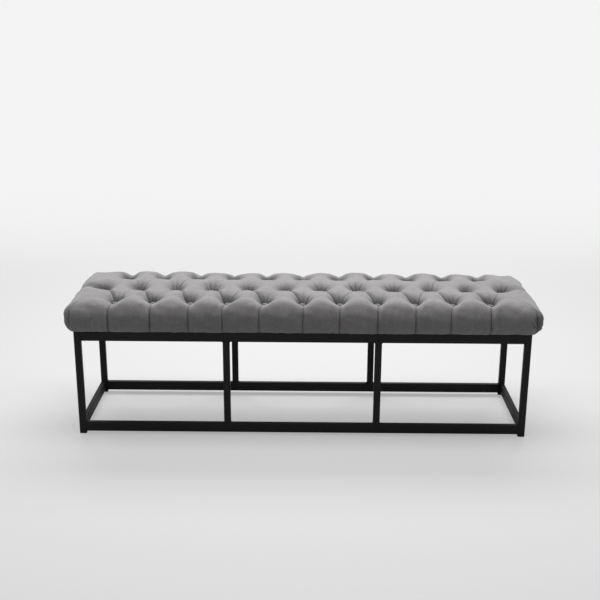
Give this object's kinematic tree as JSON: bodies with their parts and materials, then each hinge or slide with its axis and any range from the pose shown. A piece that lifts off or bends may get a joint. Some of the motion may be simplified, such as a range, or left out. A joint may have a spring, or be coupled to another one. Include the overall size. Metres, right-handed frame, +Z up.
{
  "type": "upholstered bench",
  "caption": "Backless upholstered bench: deep-buttoned padded seat on an open welded frame of slim rectangular steel tube with corner and middle uprights.",
  "frame": {"origin": "on the floor at the middle of the bench in plan", "axes": "+X along the bench to the right as seen from the front, +Y from the front to the back, +Z up"},
  "size_m": [1.499, 0.4008, 0.46],
  "materials": {
    "powder_coat": "satin powder coat",
    "cap_plastic": "matt",
    "plywood": "raw plywood",
    "foam": "open-cell foam",
    "wadding": "polyester wadding",
    "upholstery": "fine matt weave",
    "dust_cloth": "non-woven cloth",
    "twine": "waxed twine",
    "zinc_steel": "zinc plated"
  },
  "bodies": {
    "root": {"top_rail_front": "powder_coat", "bottom_rail_front": "powder_coat", "top_rail_back": "powder_coat", "bottom_rail_back": "powder_coat", "top_rail_left": "powder_coat", "bottom_rail_left": "powder_coat", "top_rail_right": "powder_coat", "bottom_rail_right": "powder_coat", "cross_bar_left": "powder_coat", "cross_bar_right": "powder_coat", "leg_front_left": "powder_coat", "leg_front_mid_left": "powder_coat", "foot_cap_front_left": "cap_plastic", "leg_front_right": "powder_coat", "leg_front_mid_right": "powder_coat", "foot_cap_front_right": "cap_plastic", "leg_back_left": "powder_coat", "leg_back_mid_left": "powder_coat", "foot_cap_back_left": "cap_plastic", "leg_back_right": "powder_coat", "leg_back_mid_right": "powder_coat", "foot_cap_back_right": "cap_plastic", "weld_beads": "powder_coat", "seat_tabs": "powder_coat", "seat_board": "plywood", "foam_core": "foam", "wadding": "wadding", "seat_cover": "upholstery", "dust_cover": "dust_cloth", "cover_staples": "zinc_steel", "dust_cover_staples": "zinc_steel", "tuft_buttons_front": "upholstery", "tuft_twine_front": "twine", "tuft_buttons_middle": "upholstery", "tuft_twine_middle": "twine", "tuft_buttons_back": "upholstery", "tuft_twine_back": "twine", "seat_screws": "zinc_steel", "seat_washers": "zinc_steel", "t_nuts": "zinc_steel"}
  },
  "joints": []
}
